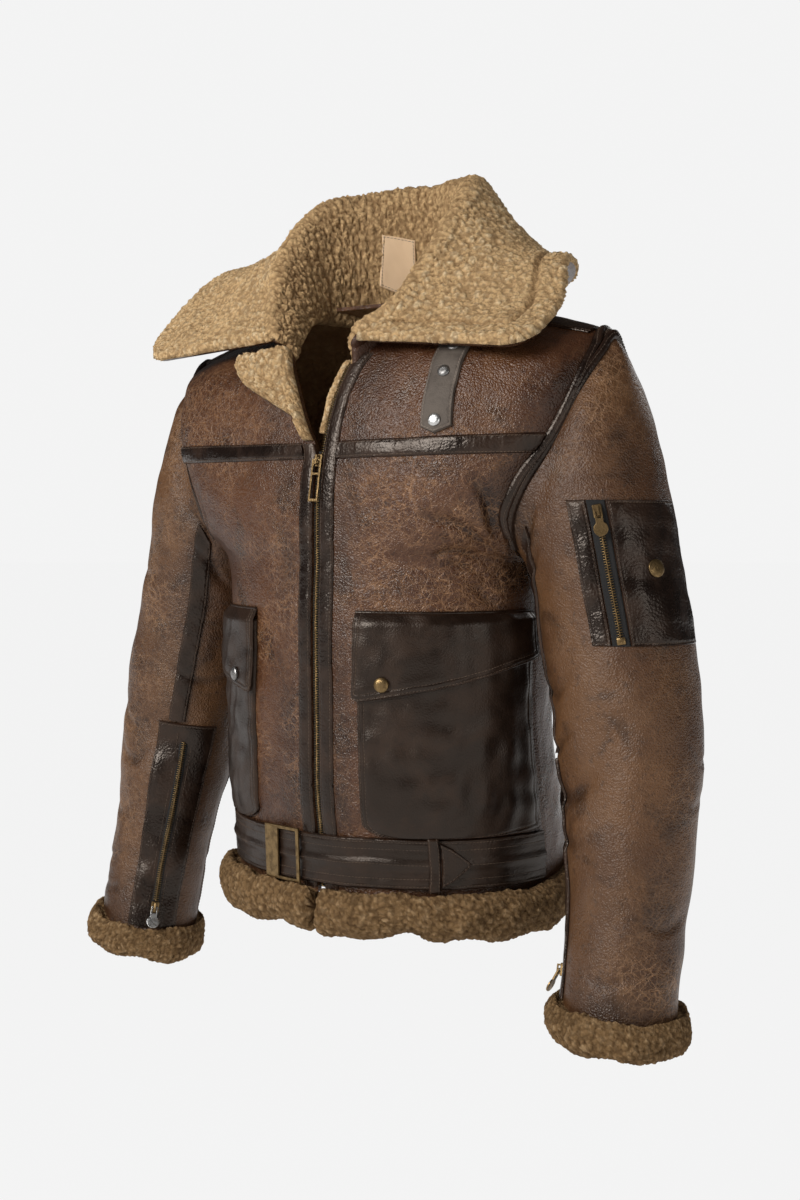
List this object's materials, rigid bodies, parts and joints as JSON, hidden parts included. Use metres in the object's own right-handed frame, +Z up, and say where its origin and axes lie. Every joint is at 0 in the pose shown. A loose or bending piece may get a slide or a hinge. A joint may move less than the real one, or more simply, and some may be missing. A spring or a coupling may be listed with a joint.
{
  "type": "shearling tank jacket",
  "caption": "Hollow shearling tank jacket in brown distressed leather, with a folded fleece collar, belted waist, patch pockets and fleece hem and cuffs.",
  "frame": {"origin": "on the mid-line at the level of the side neck, where a pair of shoulders carries the jacket", "axes": "+Z up, -Y the way the front faces, +X the wearer's left"},
  "size_m": [0.7289, 0.347, 0.8248],
  "materials": {
    "body_leather": "distressed, satin",
    "trim_leather": "glossy",
    "pocket_leather": "satin",
    "strap_leather": "matte",
    "collar_fleece": "curled wool",
    "dark_fleece": "curled wool",
    "zip_tape": "woven",
    "antique_brass": "aged",
    "bright_metal": "satin",
    "label_cloth": "woven"
  },
  "bodies": {
    "jacket": {"armhole_strip_left": "trim_leather", "armhole_strip_right": "trim_leather", "back": "body_leather", "belt": "pocket_leather", "belt_tip": "pocket_leather", "buckle": "antique_brass", "collar": "collar_fleece", "cuff_fleece_left": "dark_fleece", "cuff_fleece_right": "dark_fleece", "cuff_guard_left": "trim_leather", "cuff_guard_right": "trim_leather", "cuff_slider_left": "antique_brass", "cuff_slider_right": "antique_brass", "cuff_tape_left": "zip_tape", "cuff_tape_right": "zip_tape", "facing_left": "collar_fleece", "flap_left": "pocket_leather", "flap_right": "pocket_leather", "flap_snap_left": "antique_brass", "flap_snap_right": "antique_brass", "front_left": "body_leather", "front_right": "body_leather", "front_slider": "antique_brass", "hem_fleece": "dark_fleece", "keeper": "pocket_leather", "label": "label_cloth", "lapel": "collar_fleece", "placket_left": "trim_leather", "placket_right": "trim_leather", "pocket_left": "pocket_leather", "pocket_right": "pocket_leather", "seam_strip_left": "trim_leather", "seam_strip_right": "trim_leather", "shoulder_strip_left": "trim_leather", "shoulder_strip_right": "trim_leather", "sleeve_pocket": "trim_leather", "sleeve_pocket_slider": "antique_brass", "sleeve_pocket_strip": "trim_leather", "sleeve_pocket_tape": "zip_tape", "sleeve_stud": "antique_brass", "sleeve_top_left": "body_leather", "sleeve_top_right": "body_leather", "sleeve_under_left": "body_leather", "sleeve_under_right": "body_leather", "strap_snap_1": "bright_metal", "strap_snap_2": "antique_brass", "strap_snap_3": "antique_brass", "throat_strap": "strap_leather", "yoke_strip_left": "trim_leather", "yoke_strip_right": "trim_leather", "zip_tape_left": "zip_tape", "zip_tape_right": "zip_tape"},
    "front_pull": {"front_pull": "antique_brass"},
    "sleeve_pocket_pull": {"sleeve_pocket_pull": "antique_brass"},
    "cuff_pull_left": {"cuff_pull_left": "antique_brass"},
    "cuff_pull_right": {"cuff_pull_right": "antique_brass"}
  },
  "joints": [
    {"name": "front_pull_hinge", "type": "hinge", "parent": "jacket", "child": "front_pull", "pos_m": [0.02012, -0.13368, -0.16351], "axis": [-0.9996, -0.0283, 0.0037], "range_deg": [0, 150]},
    {"name": "sleeve_pocket_pull_hinge", "type": "hinge", "parent": "jacket", "child": "sleeve_pocket_pull", "pos_m": [0.2833, -0.06028, -0.21261], "axis": [-0.8263, -0.5308, -0.1881], "range_deg": [0, 150]},
    {"name": "cuff_pull_left_hinge", "type": "hinge", "parent": "jacket", "child": "cuff_pull_left", "pos_m": [0.24081, -0.05208, -0.63188], "axis": [-0.1888, 0.9477, -0.2574], "range_deg": [0, 120]},
    {"name": "cuff_pull_right_hinge", "type": "hinge", "parent": "jacket", "child": "cuff_pull_right", "pos_m": [-0.25581, -0.08169, -0.63857], "axis": [-0.6743, -0.7177, 0.1739], "range_deg": [0, 120]}
  ]
}
